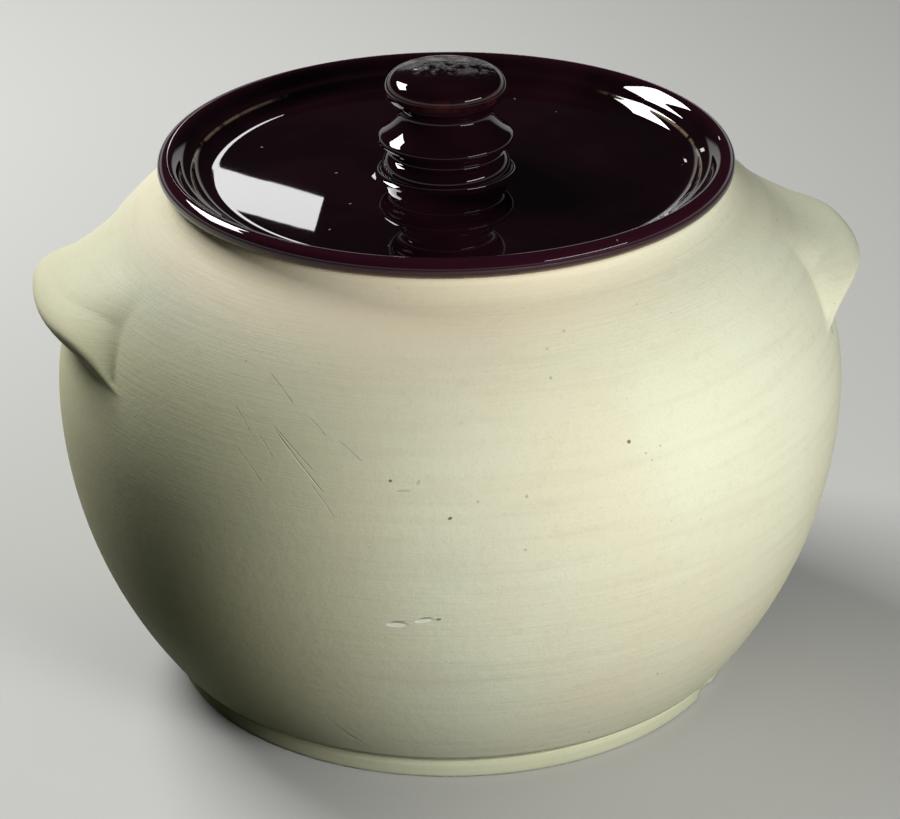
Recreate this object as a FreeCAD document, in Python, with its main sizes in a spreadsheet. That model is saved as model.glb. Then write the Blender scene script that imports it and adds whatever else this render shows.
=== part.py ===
"""Covered bean pot: a round-bellied stoneware pot with two ear lugs, and a glazed lid with a button knob."""
import FreeCAD, Part
import math
import os
import re

import Sketcher

SIZES = {
    # Pot, outer form
    "belly_radius": 120.2,
    "belly_height": 92.5,
    "pot_height": 160.2,
    "mouth_radius": 78.2,
    "rim_width": 6.0,
    "rim_round": 1.5,
    "collar_rise": 7.2,
    "throat_run": 5.3,
    "throat_arc": 19.0,
    # Pot, foot
    "foot_radius": 88.2,
    "foot_height": 5.0,
    "foot_edge_round": 1.0,
    "foot_ring_width": 13.0,
    "foot_recess_depth": 2.5,
    "foot_recess_run": 3.0,
    "seam_inset": 1.0,
    "seam_cove_rise": 4.0,
    "seam_cove_run": 3.9,
    "seam_cove_arc": 7.0,
    # Pot, wall and inside
    "wall": 7.5,
    "base_thickness": 9.0,
    "inner_corner_rise": 16.0,
    "inner_corner_run": 16.0,
    "inner_corner_arc": 22.0,
    "mouth_land": 7.0,
    "throat_inner_arc": 24.0,
    # Lugs: the top is measured down from the rim, the reach outward from the belly
    "lug_drop": 27.7,
    "lug_thickness": 13.0,
    "lug_reach": 5.8,
    "lug_plan_radius": 39.5,
    "lug_nose_round": 6.0,
    "lug_lip_round": 4.0,
    "lug_blend": 6.0,
    # Lid: it overhangs the rim, and its spigot hangs in the mouth with a clearance
    "lid_clearance": 1.2,
    "lid_slip": 0.6,
    "lid_overhang": 2.2,
    "lid_spigot_depth": 6.0,
    "lid_spigot_round": 3.0,
    "lid_root_round": 1.2,
    # Lid, inward from its edge: each run and rise or fall starts where the one before it ends
    "lid_bead_radius": 3.0,
    "lid_bead_run": 4.7,
    "lid_bead_rise": 2.46,
    "lid_flank_run": 2.2,
    "lid_flank_fall": 1.96,
    "lid_flank_arc": 13.0,
    "lid_cove_run": 1.8,
    "lid_cove_fall": 1.15,
    "lid_cove_arc": 3.9,
    "lid_shelf_run": 0.8,
    "lid_shelf_fall": 0.25,
    "lid_step_run": 0.9,
    "lid_step_fall": 0.6,
    "lid_step_round": 1.9,
    "lid_slope_run": 5.5,
    "lid_slope_fall": 2.9,
    "lid_slope_arc": 7.4,
    # Knob, upward from the floor of the lid in the same way
    "knob_foot_radius": 21.6,
    "knob_foot_cove": 2.1,
    "knob_step_run": 2.7,
    "knob_step_rise": 4.2,
    "knob_step_arc": 5.3,
    "knob_neck_run": 2.4,
    "knob_neck_rise": 3.4,
    "knob_neck_arc": 2.4,
    "knob_tier_run": 0.7,
    "knob_tier_rise": 2.7,
    "knob_tier_round": 1.6,
    "knob_flare_run": 6.1,
    "knob_flare_rise": 6.6,
    "knob_flare_arc": 21.0,
    "knob_waist_run": 2.6,
    "knob_waist_rise": 4.1,
    "knob_waist_arc": 2.9,
    "knob_lip_run": 1.8,
    "knob_lip_rise": 3.4,
    "knob_lip_arc": 4.1,
    "knob_cap_run": 3.7,
    "knob_cap_rise": 4.8,
    "knob_cap_arc": 5.0,
    "knob_crown_rise": 1.9,
}

LEFT = 1
RIGHT = -1
FULL_TURN = 360
TOUCH = 0.01


def write_sheet(document):
    """One row for each driving size: its name, and its value under an alias of that name."""
    sheet = document.addObject("Spreadsheet::Sheet", "Sizes")
    for row, (name, value) in enumerate(SIZES.items(), start=1):
        sheet.set(f"A{row}", name)
        sheet.set(f"B{row}", str(value))
        sheet.setAlias(f"B{row}", name)
    document.recompute()


def sized(formula):
    """The formula with each driving size written as a reference to the sheet."""
    return re.sub(r"[a-z]\w+", lambda word: f"Sizes.{word[0]}" if word[0] in SIZES else word[0], formula)


def value_of(item, formula):
    return float(item.evalExpression(sized(formula)))


def plane_sketch(body, name, role):
    """An empty sketch on one of the body's own origin planes."""
    sketch = body.newObject("Sketcher::SketchObject", name)
    plane = next(feature for feature in body.Origin.OriginFeatures if feature.Role == role)
    sketch.AttachmentSupport = (plane, [""])
    sketch.MapMode = "FlatFace"
    return sketch


def bind(sketch, formula, kind, *ends):
    """Adds a constraint whose size is a formula of the driving sizes."""
    index = sketch.addConstraint(Sketcher.Constraint(kind, *ends, value_of(sketch, formula)))
    sketch.setExpression(f"Constraints[{index}]", sized(formula))


def arc_between(start, end, radius, side):
    """The shorter arc from start to end, with its centre on the left or the right of the way."""
    chord = end - start
    half = chord.Length / 2
    across = FreeCAD.Vector(-chord.y, chord.x, 0).normalize() * side
    centre = (start + end) / 2 + across * math.sqrt(max(radius ** 2 - half ** 2, 0))
    circle = Part.Circle(centre, FreeCAD.Vector(0, 0, 1), radius)
    first, last = (start, end) if side == LEFT else (end, start)
    angles = [math.atan2(point.y - centre.y, point.x - centre.x) for point in (first, last)]
    return Part.ArcOfCircle(circle, *angles)


class Outline:
    """A closed chain of lines and arcs whose corners and radii are formulas of the driving sizes."""

    def __init__(self, sketch, across, up):
        self.sketch = sketch
        self.start = self.corner = (across, up)
        self.first = self.last = None

    def point(self, corner):
        return FreeCAD.Vector(*(value_of(self.sketch, part) for part in corner), 0)

    def pin(self, geometry, end, corner):
        """Holds one end of a segment at its corner, on an axis where the corner lies on one."""
        for kind, axis, formula in zip(("DistanceX", "DistanceY"), (-2, -1), corner):
            if formula == "0":
                self.sketch.addConstraint(Sketcher.Constraint("PointOnObject", geometry, end, axis))
            else:
                bind(self.sketch, formula, kind, -1, 1, geometry, end)

    def add(self, curve, ends, corner):
        """Joins a segment to the chain, and pins its far end unless that closes the chain."""
        index = self.sketch.addGeometry(curve, False)
        if self.last is None:
            self.first = (index, ends[0])
            self.pin(index, ends[0], self.start)
        else:
            self.sketch.addConstraint(Sketcher.Constraint("Coincident", *self.last, index, ends[0]))
        if corner == self.start:
            self.sketch.addConstraint(Sketcher.Constraint("Coincident", index, ends[1], *self.first))
        else:
            self.pin(index, ends[1], corner)
        self.last = (index, ends[1])
        self.corner = corner
        return index

    def line(self, across, up):
        corner = (across, up)
        self.add(Part.LineSegment(self.point(self.corner), self.point(corner)), (1, 2), corner)

    def arc(self, across, up, radius, side):
        corner = (across, up)
        curve = arc_between(self.point(self.corner), self.point(corner), value_of(self.sketch, radius), side)
        index = self.add(curve, (1, 2) if side == LEFT else (2, 1), corner)
        bind(self.sketch, radius, "Radius", index)

    def ahead(self, run, rise):
        """The corner that lies a run and a rise from the last one."""
        return tuple(f"({start} + {step})" for start, step in zip(self.corner, (run, rise)))

    def close(self):
        self.line(*self.start)


def turned(body, name, sketch, kind):
    """A profile turned all the way round the upright axis."""
    feature = body.newObject(kind, name)
    feature.Profile = sketch
    feature.ReferenceAxis = (sketch, ["V_Axis"])
    feature.Angle = FULL_TURN
    return feature


def belly_arc(end_radius, end_height):
    """Radius of the arc that is upright at the belly's widest circle and passes through its end."""
    run = f"(belly_radius - {end_radius})"
    rise = f"(belly_height - {end_height})"
    return f"(({run}^2 + {rise}^2) / (2 * {run}))"


RIM_RADIUS = "(mouth_radius + rim_width)"
RIM_SIDE_HEIGHT = "(pot_height - rim_round)"
THROAT_RADIUS = f"({RIM_RADIUS} + throat_run)"
THROAT_HEIGHT = "(pot_height - collar_rise)"
SEAM_TOP_RADIUS = "(foot_radius + seam_cove_run)"
SEAM_TOP_HEIGHT = "(foot_height + seam_cove_rise)"
LOWER_ARC = belly_arc(SEAM_TOP_RADIUS, SEAM_TOP_HEIGHT)
UPPER_ARC = belly_arc(THROAT_RADIUS, THROAT_HEIGHT)


def outer_form(body):
    """The pot's outside, from the recess under its base to the top of its rim, turned as a solid."""
    sketch = plane_sketch(body, "pot_outer_profile", "YZ_Plane")
    ring_inner = "(foot_radius - foot_ring_width)"
    outline = Outline(sketch, "0", "foot_recess_depth")
    outline.line(f"{ring_inner} - foot_recess_run", "foot_recess_depth")
    outline.line(ring_inner, "0")
    outline.line("foot_radius - foot_edge_round", "0")
    outline.arc("foot_radius", "foot_edge_round", "foot_edge_round", LEFT)
    outline.line("foot_radius", "foot_height - foot_edge_round")
    outline.arc("foot_radius - seam_inset", "foot_height", "foot_edge_round", LEFT)
    outline.arc(SEAM_TOP_RADIUS, SEAM_TOP_HEIGHT, "seam_cove_arc", RIGHT)
    outline.arc("belly_radius", "belly_height", LOWER_ARC, LEFT)
    outline.arc(THROAT_RADIUS, THROAT_HEIGHT, UPPER_ARC, LEFT)
    outline.arc(RIM_RADIUS, RIM_SIDE_HEIGHT, "throat_arc", RIGHT)
    outline.arc(f"{RIM_RADIUS} - rim_round", "pot_height", "rim_round", LEFT)
    outline.line("0", "pot_height")
    outline.close()
    return turned(body, "pot_outer_form", sketch, "PartDesign::Revolution")


def cavity(body):
    """The inside of the pot: base, round corner, belly, throat and the straight mouth for the lid."""
    sketch = plane_sketch(body, "pot_inner_profile", "YZ_Plane")
    corner_height = "(base_thickness + inner_corner_rise)"
    lower_centre = f"(belly_radius - {LOWER_ARC})"
    corner_radius = f"({lower_centre} + sqrt(({LOWER_ARC} - wall)^2 - (belly_height - {corner_height})^2))"
    throat_out = f"({THROAT_RADIUS} - belly_radius + {UPPER_ARC}) / {UPPER_ARC}"
    throat_up = f"({THROAT_HEIGHT} - belly_height) / {UPPER_ARC}"
    outline = Outline(sketch, "0", "base_thickness")
    outline.line(f"{corner_radius} - inner_corner_run", "base_thickness")
    outline.arc(corner_radius, corner_height, "inner_corner_arc", LEFT)
    outline.arc("belly_radius - wall", "belly_height", f"{LOWER_ARC} - wall", LEFT)
    throat = (f"{THROAT_RADIUS} - wall * {throat_out}", f"{THROAT_HEIGHT} - wall * {throat_up}")
    outline.arc(*throat, f"{UPPER_ARC} - wall", LEFT)
    outline.arc("mouth_radius", "pot_height - mouth_land", "throat_inner_arc", RIGHT)
    outline.line("mouth_radius", RIM_SIDE_HEIGHT)
    outline.arc("mouth_radius + rim_round", "pot_height", "rim_round", RIGHT)
    outline.line("0", "pot_height")
    outline.close()
    return turned(body, "pot_cavity", sketch, "PartDesign::Groove")


def lug_ledges(body):
    """Two round ledges across the shoulder, opposite each other, from one plan sketch."""
    sketch = plane_sketch(body, "lug_plan", "XY_Plane")
    sketch.setExpression("AttachmentOffset.Base.z", sized("pot_height - lug_drop - lug_thickness"))
    centre = "belly_radius + lug_reach - lug_plan_radius"
    for side in (1, -1):
        place = FreeCAD.Vector(side * value_of(sketch, centre), 0, 0)
        circle = Part.Circle(place, FreeCAD.Vector(0, 0, 1), value_of(sketch, "lug_plan_radius"))
        index = sketch.addGeometry(circle, False)
        sketch.addConstraint(Sketcher.Constraint("PointOnObject", index, 3, -1))
        ends = (-1, 1, index, 3) if side > 0 else (index, 3, -1, 1)
        bind(sketch, centre, "DistanceX", *ends)
        bind(sketch, "lug_plan_radius", "Radius", index)
    pad = body.newObject("PartDesign::Pad", "lug_ledges")
    pad.Profile = sketch
    pad.setExpression("Length", sized("lug_thickness"))
    return pad


def rounded(body, name, base, test, radius):
    """A fillet on the base's edges that pass the test."""
    body.Document.recompute()
    edges = [f"Edge{number}" for number, edge in enumerate(base.Shape.Edges, start=1) if test(edge)]
    feature = body.newObject("PartDesign::Fillet", name)
    feature.Base = (base, edges)
    feature.setExpression("Radius", sized(radius))
    return feature


def plan_arc_at(height, radius):
    """Tests an edge for an arc of a lug's plan outline at one height."""
    def test(edge):
        box = edge.BoundBox
        level = abs(box.ZMin - height) < TOUCH and abs(box.ZMax - height) < TOUCH
        return level and isinstance(edge.Curve, Part.Circle) and abs(edge.Curve.Radius - radius) < TOUCH
    return test


def is_free_curve(edge):
    """True where two rounded forms meet, which on this pot is only round the lugs."""
    return isinstance(edge.Curve, Part.BSplineCurve)


def make_pot(document):
    """Body, lugs and foot, one fired piece, standing on its foot ring."""
    body = document.addObject("PartDesign::Body", "pot")
    body.AllowCompound = True
    ledges = lug_ledges(body)
    plan_radius = value_of(body, "lug_plan_radius")
    top = value_of(body, "pot_height - lug_drop")
    under = value_of(body, "pot_height - lug_drop - lug_thickness")
    noses = rounded(body, "lug_noses", ledges, plan_arc_at(top, plan_radius), "lug_nose_round")
    rounded(body, "lug_lips", noses, plan_arc_at(under, plan_radius), "lug_lip_round")
    joined = outer_form(body)
    rounded(body, "lug_blends", joined, is_free_curve, "lug_blend")
    cavity(body)
    return body


def make_lid(document):
    """Lid and knob, one fired piece, measured from the underside of the spigot that hangs in the mouth."""
    body = document.addObject("PartDesign::Body", "lid")
    sketch = plane_sketch(body, "lid_profile", "YZ_Plane")
    spigot = "(mouth_radius - lid_clearance)"
    edge = f"({RIM_RADIUS} + lid_overhang)"
    outline = Outline(sketch, "0", "0")
    outline.line(f"{spigot} - lid_spigot_round", "0")
    outline.arc(spigot, "lid_spigot_round", "lid_spigot_round", LEFT)
    outline.line(spigot, "lid_spigot_depth - lid_root_round")
    outline.arc(f"{spigot} + lid_root_round", "lid_spigot_depth", "lid_root_round", RIGHT)
    outline.line(f"{edge} - lid_bead_radius", "lid_spigot_depth")
    outline.arc(edge, "lid_spigot_depth + lid_bead_radius", "lid_bead_radius", LEFT)
    outline.arc(*outline.ahead("-lid_bead_run", "lid_bead_rise"), "lid_bead_radius", LEFT)
    outline.arc(*outline.ahead("-lid_flank_run", "-lid_flank_fall"), "lid_flank_arc", LEFT)
    outline.arc(*outline.ahead("-lid_cove_run", "-lid_cove_fall"), "lid_cove_arc", RIGHT)
    outline.line(*outline.ahead("-lid_shelf_run", "-lid_shelf_fall"))
    outline.arc(*outline.ahead("-lid_step_run", "-lid_step_fall"), "lid_step_round", LEFT)
    outline.arc(*outline.ahead("-lid_slope_run", "-lid_slope_fall"), "lid_slope_arc", RIGHT)
    floor = outline.corner[1]
    outline.line("knob_foot_radius", floor)
    outline.arc(*outline.ahead("-knob_foot_cove", "knob_foot_cove"), "knob_foot_cove", RIGHT)
    outline.arc(*outline.ahead("-knob_step_run", "knob_step_rise"), "knob_step_arc", LEFT)
    outline.arc(*outline.ahead("knob_neck_run", "knob_neck_rise"), "knob_neck_arc", RIGHT)
    outline.arc(*outline.ahead("knob_tier_run", "knob_tier_rise"), "knob_tier_round", LEFT)
    outline.arc(*outline.ahead("-knob_flare_run", "knob_flare_rise"), "knob_flare_arc", RIGHT)
    outline.arc(*outline.ahead("knob_waist_run", "knob_waist_rise"), "knob_waist_arc", RIGHT)
    outline.arc(*outline.ahead("knob_lip_run", "knob_lip_rise"), "knob_lip_arc", LEFT)
    outline.arc(*outline.ahead("-knob_cap_run", "knob_cap_rise"), "knob_cap_arc", LEFT)
    crown_run, cap_height = outline.corner
    crown_arc = f"(({crown_run})^2 + knob_crown_rise^2) / (2 * knob_crown_rise)"
    outline.arc("0", f"{cap_height} + knob_crown_rise", crown_arc, LEFT)
    outline.close()
    turned(body, "lid_form", sketch, "PartDesign::Revolution")
    body.setExpression("Placement.Base.x", sized("-lid_slip"))
    body.setExpression("Placement.Base.z", sized("pot_height - lid_spigot_depth"))
    return body


def check(document, bodies):
    """Stops before anything is written if an object failed or a piece isn't one sound solid."""
    document.recompute()
    for item in document.Objects:
        if {"Invalid", "Error"} & set(item.State):
            raise RuntimeError(f"{item.Name} failed: {item.State}")
    for body in bodies:
        shape = body.Shape
        if shape.isNull() or not shape.isValid() or len(shape.Solids) != 1:
            raise RuntimeError(f"{body.Label} isn't one sound solid")


document = FreeCAD.newDocument("bean_pot")
write_sheet(document)
pieces = [make_pot(document), make_lid(document)]
check(document, pieces)
os.makedirs("parts", exist_ok=True)
for piece in pieces:
    piece.Shape.exportStep(f"parts/{piece.Label}.step")
    print(piece.Label, "volume in cubic centimetres:", round(piece.Shape.Volume / 1000))
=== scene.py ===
"""Covered bean pot of cream stoneware with two ear lugs, and its dark brown glazed lid."""
import math

import bmesh
import bpy
from mathutils import Matrix, Vector, noise
from mathutils.geometry import interpolate_bezier


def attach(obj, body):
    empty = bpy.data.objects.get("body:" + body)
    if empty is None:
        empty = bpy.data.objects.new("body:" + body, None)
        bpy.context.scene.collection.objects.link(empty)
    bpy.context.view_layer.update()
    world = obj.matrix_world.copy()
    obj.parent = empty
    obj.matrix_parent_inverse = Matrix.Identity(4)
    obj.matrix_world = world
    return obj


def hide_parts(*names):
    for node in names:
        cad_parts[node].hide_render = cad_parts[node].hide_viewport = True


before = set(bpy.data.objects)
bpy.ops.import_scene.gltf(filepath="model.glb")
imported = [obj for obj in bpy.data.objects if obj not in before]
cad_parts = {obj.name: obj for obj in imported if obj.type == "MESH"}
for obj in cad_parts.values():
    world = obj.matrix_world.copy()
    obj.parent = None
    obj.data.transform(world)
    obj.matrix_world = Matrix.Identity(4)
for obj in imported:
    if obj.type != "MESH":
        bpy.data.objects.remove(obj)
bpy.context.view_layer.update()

MM = 0.001
LEFT = 1
RIGHT = -1
CAMERA_TURN = -10


# The potter's rib: a profile in radius and height, turned on the wheel

class Rib:
    """A chain of lines and arcs, in millimetres of radius and height, that is then turned into a form."""

    def __init__(self, radius, height):
        self.clay = bmesh.new()
        self.tip = self.clay.verts.new((radius * MM, 0, height * MM))

    def line(self, radius, height, steps=1):
        step = (Vector((radius * MM, 0, height * MM)) - self.tip.co) / steps
        for _ in range(steps):
            made = bmesh.ops.extrude_vert_indiv(self.clay, verts=[self.tip])
            self.tip = made["verts"][0]
            bmesh.ops.translate(self.clay, verts=[self.tip], vec=step)

    def arc(self, radius, height, bend, side, steps):
        """Swings the tip round a centre on its left or right, along an arc of radius bend."""
        end = Vector((radius * MM, 0, height * MM))
        chord = end - self.tip.co
        half = chord.length / 2
        across = Vector((-chord.z, 0, chord.x)).normalized() * side
        centre = (self.tip.co + end) / 2 + across * math.sqrt(max((bend * MM) ** 2 - half ** 2, 0))
        turn = 2 * math.asin(min(half / (bend * MM), 1)) * side
        made = bmesh.ops.spin(
            self.clay, geom=[self.tip], cent=centre, axis=(0, -1, 0), angle=turn, steps=steps)
        self.tip = next(part for part in made["geom_last"] if isinstance(part, bmesh.types.BMVert))

    def turned(self, sectors, start=0):
        """Turns the chain round the upright axis, sector by sector, each given as degrees and steps."""
        clay = self.clay
        turn = Matrix.Rotation(math.radians(start), 3, "Z")
        bmesh.ops.rotate(clay, verts=clay.verts, cent=(0, 0, 0), matrix=turn)
        edge = clay.verts[:] + clay.edges[:]
        for degrees, steps in sectors:
            made = bmesh.ops.spin(
                clay, geom=edge, cent=(0, 0, 0), axis=(0, 0, 1), angle=math.radians(degrees), steps=steps)
            edge = made["geom_last"]
        bmesh.ops.remove_doubles(clay, verts=clay.verts, dist=MM / 100)
        bmesh.ops.recalc_face_normals(clay, faces=clay.faces)
        return clay


def fired(clay, name, node, finish):
    """The finished piece, smooth all over, in place of the model's own."""
    mesh = bpy.data.meshes.new(name)
    for face in clay.faces:
        face.smooth = True
    clay.to_mesh(mesh)
    clay.free()
    mesh.materials.append(finish)
    piece = bpy.data.objects.new(name, mesh)
    bpy.context.scene.collection.objects.link(piece)
    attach(piece, "root")
    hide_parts(node)
    return piece


# Pot

BELLY_RADIUS = 120.2
BELLY_HEIGHT = 92.5
SHOULDER_BEND = 74.9
SHOULDER_CENTRE = BELLY_RADIUS - SHOULDER_BEND
LOWER_BEND = 138.0
LOWER_CENTRE = BELLY_RADIUS - LOWER_BEND
WALL = 7.5
RIM_HEIGHT = 160.2
FLOOR_HEIGHT = 9
FOOT_RADIUS = 88.2
SEAM_HEIGHT = 9.0

# Degrees and steps of each stretch of the turning: finer at the lugs and at the nick in the foot
FIRST_TURN = -30
POT_SECTORS = [(60, 110), (120, 74), (60, 110), (106, 64), (14, 28)]

# Lug: its section at the middle, from the seam under it to the shoulder above, as radius and height
LUG_FOOT = Vector((115.8, 115.3, 0))
LUG_UNDER = Vector((118.6, 120.3, 0))
LUG_NOSE = Vector((126.0, 129.2, 0))
LUG_CREST = Vector((120.4, 134.2, 0))
LUG_HEAD = Vector((98.72, 145.0, 0))
LUG_ROWS = (16, 24, 24, 32)

# Lug: half its spread in degrees, how squarely it keeps its reach, and how softly it then ends
LUG_LIP = Vector((27.0, 3.4, 1.2))
LUG_EDGE = Vector((22.5, 3.6, 1.2))
LUG_BACK = Vector((20.0, 2.0, 1.4))
LUG_END_NOSE = 0.12
LUG_BACK_START = 0.4

# Nick knocked out of the foot's edge, at the right of the front
NICK_ANGLE = -37.5
NICK_SPREAD = 3.6
NICK_HEIGHT = 6.5
NICK_DEPTH = 1.5
NICK_WIDTH = 3
NICK_GRAIN = 420


def shoulder_at(height):
    """Radius of the shoulder at a height."""
    return SHOULDER_CENTRE + math.sqrt(SHOULDER_BEND ** 2 - (height - BELLY_HEIGHT) ** 2)


def pot_clay():
    """Foot, belly, shoulder and rim outside, then the mouth, the belly and the floor inside."""
    rib = Rib(0, 2.5)
    rib.line(72.2, 2.5, 5)
    rib.line(75.2, 0, 2)
    rib.line(87.2, 0, 4)
    rib.arc(FOOT_RADIUS, 1, 1, LEFT, 3)
    rib.line(FOOT_RADIUS, 4, 3)
    rib.arc(87.2, 5, 1, LEFT, 3)
    rib.arc(92.1, SEAM_HEIGHT, 7, RIGHT, 8)
    rib.arc(BELLY_RADIUS, BELLY_HEIGHT, LOWER_BEND, LEFT, 46)
    rib.arc(89.5, 153, SHOULDER_BEND, LEFT, 104)
    rib.arc(84.2, 158.7, 19, RIGHT, 8)
    rib.arc(82.7, RIM_HEIGHT, 1.5, LEFT, 4)
    rib.line(79.7, RIM_HEIGHT, 2)
    rib.arc(78.2, 158.7, 1.5, LEFT, 3)
    rib.line(78.2, 153.2, 2)
    rib.arc(85.1, 147, 24, LEFT, 4)
    rib.arc(BELLY_RADIUS - WALL, BELLY_HEIGHT, SHOULDER_BEND - WALL, RIGHT, 16)
    rib.arc(93.9, 25, LOWER_BEND - WALL, RIGHT, 12)
    rib.arc(78, FLOOR_HEIGHT, 22, RIGHT, 5)
    rib.line(0, FLOOR_HEIGHT, 5)
    return rib.turned(POT_SECTORS, start=FIRST_TURN)


def lug_section():
    """Points along the middle section of a lug, each span with the rows that it takes."""
    head_slope = Vector((LUG_HEAD.y - BELLY_HEIGHT, SHOULDER_CENTRE - LUG_HEAD.x, 0)).normalized()
    spans = [
        (LUG_FOOT, (0.2, 1.2), (-1.8, -0.8), LUG_UNDER),
        (LUG_UNDER, (2.4, 1.2), (0, -2.8), LUG_NOSE),
        (LUG_NOSE, (0, 2.5), (2.6, -1.1), LUG_CREST),
        (LUG_CREST, (-7.0, 3.0), head_slope.xy * 6, LUG_HEAD),
    ]
    points = []
    for (start, leave, arrive, end), rows in zip(spans, LUG_ROWS):
        leave, arrive = (Vector((*handle, 0)) for handle in (leave, arrive))
        points += interpolate_bezier(start, start + leave, end + arrive, end, rows + 1)[:-1]
    return points + [LUG_HEAD]


def along(points, share):
    """The point at a share of the way through a list of points."""
    place = share * (len(points) - 1)
    first = min(int(place), len(points) - 2)
    return points[first].lerp(points[first + 1], place - first)


def pull_lugs(clay):
    """Draws the two lugs out of the shoulder, at both ends of the X axis."""
    section = lug_section()
    low, high = (math.asin((end.y - BELLY_HEIGHT) / SHOULDER_BEND) for end in (LUG_FOOT, LUG_HEAD))
    nose = (LUG_ROWS[0] + LUG_ROWS[1]) / sum(LUG_ROWS)
    for vert in clay.verts:
        radius = math.hypot(vert.co.x, vert.co.y) / MM
        height = vert.co.z / MM
        if not LUG_FOOT.y < height < LUG_HEAD.y or radius < shoulder_at(height) - WALL / 2:
            continue
        turn = math.atan2(vert.co.y, abs(vert.co.x))
        end = abs(math.degrees(turn))
        share = (math.asin((height - BELLY_HEIGHT) / SHOULDER_BEND) - low) / (high - low)
        fold = nose + (LUG_END_NOSE - nose) * min(end / LUG_EDGE.x, 1) ** 2
        if share < fold:
            share *= nose / fold
            spread, fullness, ease = LUG_LIP.lerp(LUG_EDGE, share / nose)
        else:
            above = (share - fold) / (1 - fold)
            share = nose + above * (1 - nose)
            spread, fullness, ease = LUG_EDGE.lerp(LUG_BACK, min(above / LUG_BACK_START, 1))
        pull = max(1 - (end / spread) ** fullness, 0) ** ease
        target = along(section, share)
        radius += (target.x - radius) * pull
        height += (target.y - height) * pull
        side = math.copysign(1, vert.co.x)
        vert.co = Vector((side * radius * math.cos(turn), radius * math.sin(turn), height)) * MM


def knock_nick(clay):
    """Breaks a small flake out of the foot's outer edge."""
    for vert in clay.verts:
        radius = math.hypot(vert.co.x, vert.co.y) / MM
        height = vert.co.z / MM
        off = abs(math.degrees(math.atan2(vert.co.y, vert.co.x)) - NICK_ANGLE) / NICK_SPREAD
        if off > 1 or height > NICK_HEIGHT or radius < FOOT_RADIUS - NICK_WIDTH:
            continue
        ragged = 0.55 + 0.9 * abs(noise.noise(vert.co * NICK_GRAIN))
        bite = NICK_DEPTH * ragged * min(3 * (1 - off), 1) * min(2 * (1 - height / NICK_HEIGHT), 1)
        vert.co.xy *= 1 - bite / radius


# Lid

SPIGOT_RADIUS = 77.0
LID_RADIUS = 86.4
LID_SLIP = -0.6
LID_SEAT = RIM_HEIGHT
LID_FLOOR = -1.4
LID_STEPS = 256


def lid_clay():
    """Spigot, overhanging bead, ring, sunk floor and button knob, measured from the underside of the bead."""
    rib = Rib(0, -6)
    rib.line(74, -6, 6)
    rib.arc(SPIGOT_RADIUS, -3, 3, LEFT, 5)
    rib.line(SPIGOT_RADIUS, -1.2, 1)
    rib.arc(78.2, 0, 1.2, RIGHT, 3)
    rib.line(83.4, 0, 3)
    rib.arc(LID_RADIUS, 3, 3, LEFT, 8)
    rib.arc(81.7, 5.46, 3, LEFT, 12)
    rib.arc(79.5, 3.5, 13, LEFT, 6)
    rib.arc(77.7, 2.35, 3.9, RIGHT, 6)
    rib.line(76.9, 2.1, 1)
    rib.arc(76, 1.5, 1.9, LEFT, 5)
    rib.arc(70.5, LID_FLOOR, 7.4, RIGHT, 10)
    rib.line(21.6, LID_FLOOR, 20)
    rib.arc(19.5, 0.7, 2.1, RIGHT, 6)
    rib.arc(16.8, 4.9, 5.3, LEFT, 8)
    rib.arc(19.2, 8.3, 2.4, RIGHT, 10)
    rib.arc(19.9, 11, 1.6, LEFT, 9)
    rib.arc(13.8, 17.6, 21, RIGHT, 10)
    rib.arc(16.4, 21.7, 2.9, RIGHT, 9)
    rib.arc(18.2, 25.1, 4.1, LEFT, 6)
    rib.arc(14.5, 29.9, 5, LEFT, 10)
    rib.arc(0, 31.8, 56.3, LEFT, 8)
    clay = rib.turned([(360, LID_STEPS)])
    bmesh.ops.translate(clay, verts=clay.verts, vec=(LID_SLIP * MM, 0, LID_SEAT * MM))
    return clay


# Finishes

# Of a mix node: the inputs for the share and the two colours, and the output for a colour
MIX_SOCKETS = (0, 6, 7)
MIX_COLOUR = 2


class Wire:
    """One output of a material's nodes, on which sums are written as sums."""

    def __init__(self, finish, socket):
        self.finish = finish
        self.socket = socket

    def sum(self, operation, *values):
        return self.finish.node("ShaderNodeMath", {"operation": operation}, values)

    def __add__(self, other):
        return self.sum("ADD", self, other)

    def __sub__(self, other):
        return self.sum("SUBTRACT", self, other)

    def __mul__(self, other):
        return self.sum("MULTIPLY", self, other)

    def __truediv__(self, other):
        return self.sum("DIVIDE", self, other)

    def most(self, other):
        """The larger of two values, as where two marks overlap."""
        return self.sum("MAXIMUM", self, other)

    def fade(self, low, high):
        """From 0 at low to 1 at high, eased at both ends; the other way round where low is the larger."""
        settings = {"interpolation_type": "SMOOTHSTEP"}
        sockets = {"Value": self, "From Min": low, "From Max": high}
        if low > high:
            sockets.update({"From Min": high, "From Max": low, "To Min": 1, "To Max": 0})
        return self.finish.node("ShaderNodeMapRange", settings, sockets)

    def band(self, low, high, soft):
        """1 from low to high, fading out over soft on both sides."""
        return self.fade(low - soft, low) * self.fade(high + soft, high)


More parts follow.
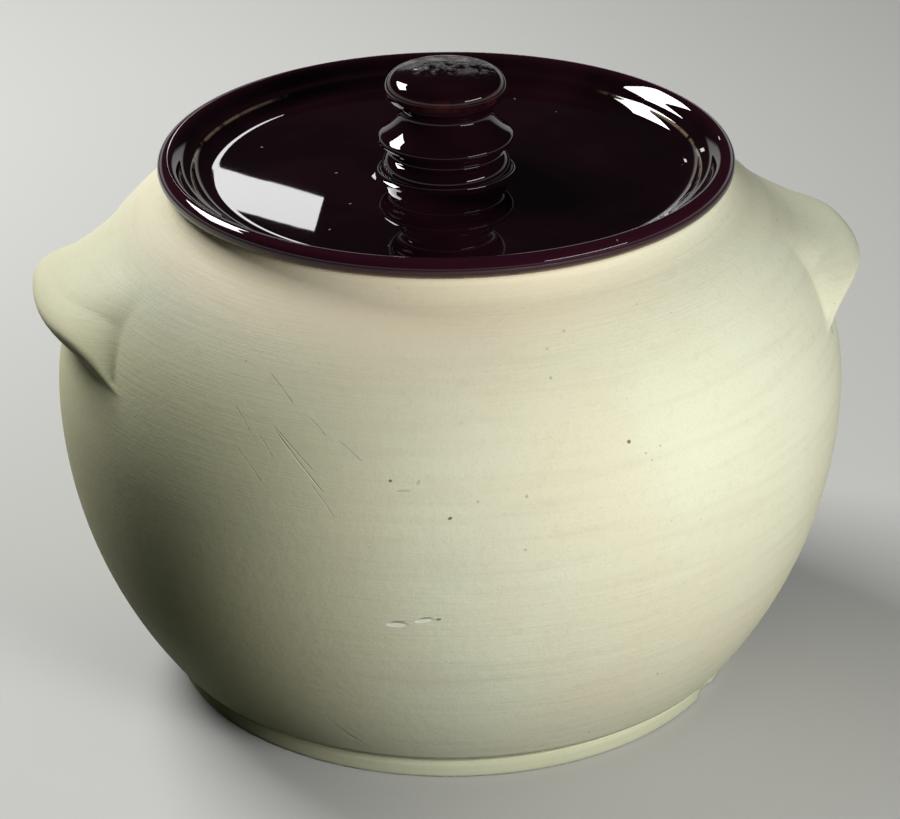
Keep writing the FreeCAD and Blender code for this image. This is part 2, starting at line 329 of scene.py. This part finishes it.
class Finish:
    """A material, or the world, and the nodes it is wired from."""

    def __init__(self, material, place="Object"):
        self.material = material
        material.use_nodes = True
        self.tree = material.node_tree
        self.tree.nodes.clear()
        self.place = self.node("ShaderNodeTexCoord", {}, {}, place)

    def node(self, kind, settings, values, out=0):
        """Adds a node: its settings first, then the value or link of each socket, by name or in order."""
        node = self.tree.nodes.new(kind)
        for name, value in settings.items():
            setattr(node, name, value)
        pairs = values.items() if isinstance(values, dict) else enumerate(values)
        for key, value in pairs:
            if isinstance(value, Wire):
                self.tree.links.new(value.socket, node.inputs[key])
            else:
                node.inputs[key].default_value = value
        return Wire(self, node.outputs[out]) if node.outputs else None

    def mix(self, share, first, second):
        """One colour over another by a share."""
        colours = [colour if isinstance(colour, Wire) else (*colour, 1) for colour in (first, second)]
        sockets = dict(zip(MIX_SOCKETS, (share, *colours)))
        return self.node("ShaderNodeMix", {"data_type": "RGBA", "blend_type": "MIX"}, sockets, MIX_COLOUR)

    def vector(self, operation, *values, out=0):
        return self.node("ShaderNodeVectorMath", {"operation": operation}, values, out)

    def height(self):
        return self.node("ShaderNodeSeparateXYZ", {}, [self.place], "Z") / MM

    def radius(self, shift=0):
        """Distance from the upright axis through a point shift along X, in millimetres."""
        moved = self.vector("SUBTRACT", self.place, (shift * MM, 0, 0))
        return self.vector("LENGTH", self.vector("MULTIPLY", moved, (1, 1, 0)), out="Value") / MM

    def side(self):
        """Distance to the right of the axis as seen from the front, in millimetres."""
        turn = math.radians(CAMERA_TURN)
        return self.vector("DOT_PRODUCT", self.place, (math.cos(turn), math.sin(turn), 0), out="Value") / MM

    def noise(self, scale, detail=2, stretch=(1, 1, 1), roughness=0.5, shift=0):
        """Soft noise from 0 to 1; scale is in features for each metre."""
        place = self.vector("MULTIPLY", self.vector("ADD", self.place, (shift, shift, shift)), stretch)
        values = {"Vector": place, "Scale": scale, "Detail": detail, "Roughness": roughness}
        return self.node("ShaderNodeTexNoise", {}, values)

    def specks(self, scale, size, share, shift=0):
        """Small round specks, in a share of the cells of a metre divided by scale."""
        place = self.vector("ADD", self.place, (shift, shift, shift))
        values = {"Vector": place, "Scale": scale}
        cell = self.node("ShaderNodeTexVoronoi", {}, values)
        chance = self.node("ShaderNodeTexVoronoi", {}, values, "Color")
        luck = self.node("ShaderNodeSeparateXYZ", {}, [chance], "X")
        return cell.fade(size, size / 2) * luck.fade(share, share * 0.9)

    def mark(self, spot, size, turn):
        """A soft oval mark at a spot; the size is its depth, length and width, all in millimetres."""
        sockets = {
            "Vector": self.place,
            "Location": Vector(spot) * MM,
            "Rotation": [math.radians(angle) for angle in turn],
            "Scale": Vector(size) * MM / 2,
        }
        inside = self.node("ShaderNodeMapping", {"vector_type": "TEXTURE"}, sockets)
        return self.vector("LENGTH", inside, out="Value").fade(1, 0.55)

    def bump(self, height, strength, distance, normal=None):
        values = {"Height": height, "Strength": strength, "Distance": distance}
        if normal is not None:
            values["Normal"] = normal
        return self.node("ShaderNodeBump", {}, values)

    def shade(self, **sockets):
        """Ends the material in one surface shader."""
        names = {key.replace("_", " ").title().replace("Ior", "IOR"): value for key, value in sockets.items()}
        surface = self.node("ShaderNodeBsdfPrincipled", {}, names)
        self.node("ShaderNodeOutputMaterial", {}, {"Surface": surface})
        return self.material


# Marks on the pot: angle round it and height in the middle of each, its length, its width and its slope
HAIRLINES = [
    (-122.2, 119.5, 21, 0.5, -38), (-121.3, 116.5, 27, 0.6, -43), (-125.5, 133.5, 13, 0.45, -38),
    (-126.4, 119.0, 9, 0.4, -46), (-117.5, 107.0, 13, 0.4, -50), (-128.6, 113.0, 15, 0.4, -41),
    (-130.5, 124.0, 12, 0.4, -44), (-114.0, 121.0, 10, 0.35, -36), (-119.0, 126.0, 8, 0.35, -40),
]
DARK_LINES = [(-118.6, 20.5, 19, 0.6, -57), (-117.0, 17.5, 22, 0.55, -58)]
IRON_SPOTS = [(-74.7, 119.4, 1.5, 1.4, 0), (-100.2, 104.0, 1.6, 1.1, 30), (-108.2, 114.0, 1.2, 1.1, 0)]
FAINT_SPOTS = [
    (-70.0, 116.3, 1.0, 0.9, 0), (-72.4, 115.4, 1.1, 0.9, 0), (-71.6, 113.2, 0.9, 0.8, 0),
    (-90.3, 93.5, 1.3, 1.0, 0), (-80.9, 147.3, 1.3, 1.0, 0), (-104.4, 113.9, 1.0, 2.2, -25),
    (-106.4, 111.5, 5.0, 0.8, 4), (-96.5, 108.5, 1.2, 1.0, 0),
]
GOUGE = [(-107.5, 69.4, 7.4, 2.0, 2), (-103.8, 71.2, 6.4, 1.7, 9)]
# Painted shade along the gouge's upper rims and at its dark right end.
GOUGE_PAINTED_SHADE = [(-107.3, 70.5, 5.5, 0.4, 3), (-103.6, 72.2, 4.5, 0.35, 9), (-101.9, 71.7, 2.0, 1.0, 12)]
FOOT_SMUDGE = [(-86.5, 7.6, 7.5, 1.0, 12), (-89.0, 6.8, 3.0, 0.8, -4)]
# Painted shade below the right lug, where its undercut falls.
LUG_UNDERCUT_SHADE = [(-20.5, 116.5, 7, 4, 70)]


def skin(angle, height):
    """A point on the pot's outside, and how far the surface there leans up, in degrees."""
    bend, centre = (LOWER_BEND, LOWER_CENTRE) if height < BELLY_HEIGHT else (SHOULDER_BEND, SHOULDER_CENTRE)
    lean = math.asin((height - BELLY_HEIGHT) / bend)
    radius = centre + bend * math.cos(lean) if height > SEAM_HEIGHT else FOOT_RADIUS
    turn = math.radians(angle)
    return Vector((radius * math.cos(turn), radius * math.sin(turn), height)), math.degrees(lean)


def marks(clay, spots, depth=4):
    """All the marks of a list, laid along the pot's outside."""
    shares = []
    for angle, height, length, width, slope in spots:
        spot, lean = skin(angle, height)
        shares.append(clay.mark(spot, (depth, length, width), (slope, -lean, angle)))
    share = shares[0]
    for other in shares[1:]:
        share = share.most(other)
    return share


def cream_stoneware():
    """Dry cream clay: cloudy warm and grey tints, throwing rings, grain, hairlines, spots and a gouge, with
    painted shade on the left side, on the foot, in the gouge's edges and under the right lug, and painted
    light on the front of the collar.
    """
    clay = Finish(bpy.data.materials.new("cream_stoneware"))
    height = clay.height()
    cloud = clay.noise(13, 4)
    patch = clay.noise(26, 3, shift=3)
    ring = clay.noise(20, 3, stretch=(1, 1, 16))
    fine_ring = clay.noise(30, 2, stretch=(1, 1, 60), shift=5)
    grain = clay.noise(1500, 2)
    blotch = clay.noise(330, 3, roughness=0.6)
    colour = clay.mix(cloud.fade(0.38, 0.68), (0.775, 0.785, 0.59), (0.76, 0.725, 0.53))
    colour = clay.mix(patch.fade(0.55, 0.8) * 0.35, colour, (0.66, 0.66, 0.53))
    colour = clay.mix(ring.fade(0.45, 0.75) * 0.16, colour, (0.55, 0.50, 0.34))
    colour = clay.mix(fine_ring.fade(0.4, 0.75) * height.fade(110, 60) * 0.14, colour, (0.52, 0.48, 0.34))
    colour = clay.mix(blotch.fade(0.5, 0.8) * 0.16, colour, (0.55, 0.48, 0.34))
    colour = clay.mix(grain.fade(0.5, 0.8) * 0.2, colour, (0.46, 0.41, 0.30))
    colour = clay.mix(clay.specks(210, 0.13, 0.06) * 0.5, colour, (0.30, 0.22, 0.14))
    side = clay.side()
    # Painted shade: the left side as seen from the camera, below the shoulder, is tinted darker and greener.
    colour = clay.mix(side.fade(10, -75) * height.fade(150, 120) * 0.6, colour, (0.60, 0.59, 0.34))
    # Painted shade: the foot below the seam is darker all round, under the belly's overhang.
    colour = clay.mix(height.fade(9.5, 6) * 0.55, colour, (0.46, 0.47, 0.31))
    # Painted light: the collar under the lid is brighter and warmer on its front, as seen from the camera.
    collar_painted_light = height.fade(141, 152) * side.band(-60, 20, 60)
    colour = clay.mix(collar_painted_light * 0.7, colour, (0.88, 0.77, 0.55))
    lines = marks(clay, HAIRLINES)
    dark_lines = marks(clay, DARK_LINES)
    gouge = marks(clay, GOUGE)
    gouge_shade = marks(clay, GOUGE_PAINTED_SHADE)
    foot_smudge = marks(clay, FOOT_SMUDGE, 12) * blotch.fade(0.3, 0.55)
    colour = clay.mix(lines * 0.55, colour, (0.88, 0.86, 0.68))
    colour = clay.mix(dark_lines * 0.4, colour, (0.20, 0.19, 0.15))
    colour = clay.mix(marks(clay, FAINT_SPOTS) * 0.4, colour, (0.30, 0.27, 0.18))
    colour = clay.mix(marks(clay, IRON_SPOTS) * 0.85, colour, (0.16, 0.075, 0.04))
    colour = clay.mix(gouge, colour, (0.95, 0.93, 0.80))
    # Painted shade in the gouge's edges.
    colour = clay.mix(gouge_shade * 0.8, colour, (0.13, 0.11, 0.07))
    colour = clay.mix(foot_smudge * 0.75, colour, (0.16, 0.14, 0.10))
    # Painted shade below the right lug.
    colour = clay.mix(marks(clay, LUG_UNDERCUT_SHADE, 14) * blotch.fade(0.35, 0.6) * 0.7, colour, (0.17, 0.14, 0.09))
    pits = clay.specks(420, 0.16, 0.1, shift=2)
    relief = grain * 0.5 + blotch * 1.2 + fine_ring * 0.8 - pits * 0.8
    normal = clay.bump(relief, 0.22, 0.0004)
    normal = clay.bump(lines * -0.4 - dark_lines * 0.4 - gouge * 0.3, 1, 0.0007, normal)
    roughness = blotch * 0.12 + 0.56
    return clay.shade(base_color=colour, roughness=roughness, specular_ior_level=0.12, normal=normal)


# Lid: the spots are measured from its own axis, as radius, angle and height above its seat
DUST = [
    (56, -137, -1.4), (38, -148, -1.4), (74, -152, -0.2), (71, -8, -1.0), (60, 150, -1.4), (33, 172, -1.4),
    (64, 60, -1.4),
]
WORN_SPOT = (1.0, 2.5, 190.6)
WORN_SIZE = (34, 25, 9)


def brown_glaze():
    """Near-black brown glaze, wet and glossy, thin and lighter on its edges, with a painted glint on the
    inner step, and worn on top of the knob with a painted sheen there.
    """
    glaze = Finish(bpy.data.materials.new("brown_glaze"))
    height = glaze.height() - LID_SEAT
    radius = glaze.radius(LID_SLIP)
    cloud = glaze.noise(28, 3)
    fine = glaze.noise(700, 3)
    breaks = glaze.noise(160, 3, shift=7)
    colour = glaze.mix(cloud.fade(0.35, 0.7), (0.006, 0.0018, 0.0028), (0.012, 0.0030, 0.0055))
    colour = glaze.mix(radius.fade(80, 85) * 0.8, colour, (0.030, 0.0050, 0.0120))
    low_edge = radius.fade(85.0, 86.0) * height.fade(2.2, 0.4)
    colour = glaze.mix(low_edge * breaks.fade(0.3, 0.5) * 0.8, colour, (0.20, 0.085, 0.045))
    side = glaze.side()
    # Thin lighter line on the inner step's edge: partly thinner glaze and partly a painted glint, kept to the
    # left and right as seen from the camera.
    step = radius.band(75.65, 76.1, 0.35) * height.fade(0.9, 1.4) * side.most(side * -1).fade(46, 58)
    colour = glaze.mix(step * breaks.fade(0.36, 0.56) * 0.6, colour, (0.34, 0.25, 0.16))
    knob_edge = radius.fade(17.4, 18.1) * height.band(23.5, 27.0, 1.0)
    colour = glaze.mix(knob_edge * breaks.fade(0.35, 0.6) * 0.4, colour, (0.07, 0.014, 0.014))
    # Rubbed, rougher wear on top of the knob; its grey colour is partly a painted sheen.
    rubbed = glaze.noise(260, 5, roughness=0.7).fade(0.46, 0.68)
    worn_and_sheen = glaze.mark(WORN_SPOT, WORN_SIZE, (0, 0, CAMERA_TURN)) * rubbed
    colour = glaze.mix(worn_and_sheen * 0.6, colour, (0.13, 0.115, 0.14))
    dust = glaze.specks(120, 0.05, 0.1) * 0.5
    for away, angle, rise in DUST:
        turn = math.radians(angle)
        spot = (LID_SLIP + away * math.cos(turn), away * math.sin(turn), LID_SEAT + rise)
        dust = dust.most(glaze.mark(spot, (1.0, 0.7, 1.0), (0, 0, angle)))
    colour = glaze.mix(dust * 0.7, colour, (0.42, 0.38, 0.34))
    ripple = glaze.noise(45, 2, shift=1) + glaze.noise(160, 2, shift=4) * 0.12
    normal = glaze.bump(ripple, 0.004, 0.001)
    normal = glaze.bump(fine * worn_and_sheen, 0.6, 0.0004, normal)
    roughness = (worn_and_sheen * 0.5).most(dust * 0.5) + 0.012
    return glaze.shade(base_color=colour, roughness=roughness, ior=1.5, normal=normal)


# Studio

CAMERA_AWAY = 0.8942
CAMERA_HEIGHT = 0.5175
CAMERA_YAW = 0.011
CAMERA_PITCH = 26.136
CAMERA_ROLL = -0.562
CAMERA_LENS = 128
FLOOR_SIZE = 12
PALE = (0.62, 0.62, 0.60)
AIM = Vector((0, 0, 0.1))
LID_AIM = Vector((0, 0, 0.165))


def camera():
    """Stands where the photograph was taken from, a little above the pot and off its lugs' line."""
    eye = bpy.data.cameras.new("camera")
    eye.lens = CAMERA_LENS
    eye.sensor_width = 36
    eye.sensor_fit = "HORIZONTAL"
    stand = bpy.data.objects.new("camera", eye)
    angles = (CAMERA_TURN, CAMERA_YAW, 90 - CAMERA_PITCH, CAMERA_ROLL)
    turn, yaw, pitch, roll = (math.radians(angle) for angle in angles)
    place = Matrix.Rotation(turn, 4, "Z") @ Matrix.Translation((0, -CAMERA_AWAY, CAMERA_HEIGHT))
    aim = Matrix.Rotation(yaw, 4, "Z") @ Matrix.Rotation(pitch, 4, "X") @ Matrix.Rotation(roll, 4, "Z")
    stand.matrix_world = place @ aim
    bpy.context.scene.collection.objects.link(stand)
    bpy.context.scene.camera = stand


def softbox(name, side, height, distance, wide, tall, watts, roll=0, aim=AIM, mirrored=True):
    """A flat soft lamp, its side in degrees to the right of the camera; the glaze may mirror it."""
    lamp = bpy.data.lights.new(name, "AREA")
    lamp.shape = "RECTANGLE"
    lamp.size = wide
    lamp.size_y = tall
    lamp.energy = watts
    stand = bpy.data.objects.new(name, lamp)
    turn = math.radians(CAMERA_TURN + side)
    rise = math.radians(height)
    away = Vector((math.sin(turn) * math.cos(rise), -math.cos(turn) * math.cos(rise), math.sin(rise)))
    aimed = away.to_track_quat("Z", "Y").to_matrix().to_4x4()
    twist = Matrix.Rotation(math.radians(roll), 4, "Z")
    stand.matrix_world = Matrix.Translation(aim + away * distance) @ aimed @ twist
    stand.visible_glossy = mirrored
    bpy.context.scene.collection.objects.link(stand)


def seen(finish):
    """1 for what is seen, straight or in a gloss or glass, and 0 for the light that falls on things."""
    rays = ("Is Camera Ray", "Is Glossy Ray", "Is Transmission Ray")
    straight, gloss, glass = (finish.node("ShaderNodeLightPath", {}, {}, ray) for ray in rays)
    return straight.most(gloss).most(glass)


def floor():
    """A plain pale sweep that gives back only a little light from below."""
    paper = Finish(bpy.data.materials.new("floor_paper"))
    colour = paper.mix(seen(paper), (0.020, 0.025, 0.012), PALE)
    clay = bmesh.new()
    bmesh.ops.create_grid(clay, x_segments=1, y_segments=1, size=FLOOR_SIZE / 2)
    mesh = bpy.data.meshes.new("floor")
    clay.to_mesh(mesh)
    clay.free()
    mesh.materials.append(paper.shade(base_color=colour, roughness=0.9, specular_ior_level=0.0))
    sheet = bpy.data.objects.new("floor", mesh)
    bpy.context.scene.collection.objects.link(sheet)


def room():
    """Weak light from all round: pale walls low down and a dark ceiling, which the glaze mirrors."""
    walls = Finish(bpy.data.worlds.new("room"), "Generated")
    rise = walls.node("ShaderNodeSeparateXYZ", {}, [walls.place], "Z")
    view = walls.mix(rise.fade(0.14, 0.22), PALE, (0.012, 0.012, 0.013))
    colour = walls.mix(seen(walls), (0.006, 0.008, 0.004), view)
    light = walls.node("ShaderNodeBackground", {}, {"Color": colour})
    walls.node("ShaderNodeOutputWorld", {}, {"Surface": light})
    bpy.context.scene.world = walls.material


pot = pot_clay()
pull_lugs(pot)
knock_nick(pot)
bmesh.ops.recalc_face_normals(pot, faces=pot.faces)
fired(pot, "stoneware_pot", "pot", cream_stoneware())
fired(lid_clay(), "glazed_lid", "lid", brown_glaze())
camera()
floor()
room()
softbox("main_lamp", 34, 13, 0.65, 0.2, 0.3, 3.05, mirrored=False)
softbox("side_lamp", 54, 22, 1.2, 0.7, 0.07, 1.9)
softbox("back_lamp", -130, 42, 1.08, 0.6, 0.26, 12.5)
softbox("lid_lamp", -173.5, 22.3, 1.2, 0.08, 0.024, 0.03, roll=-19, aim=LID_AIM)
bpy.context.scene.view_settings.view_transform = "Standard"
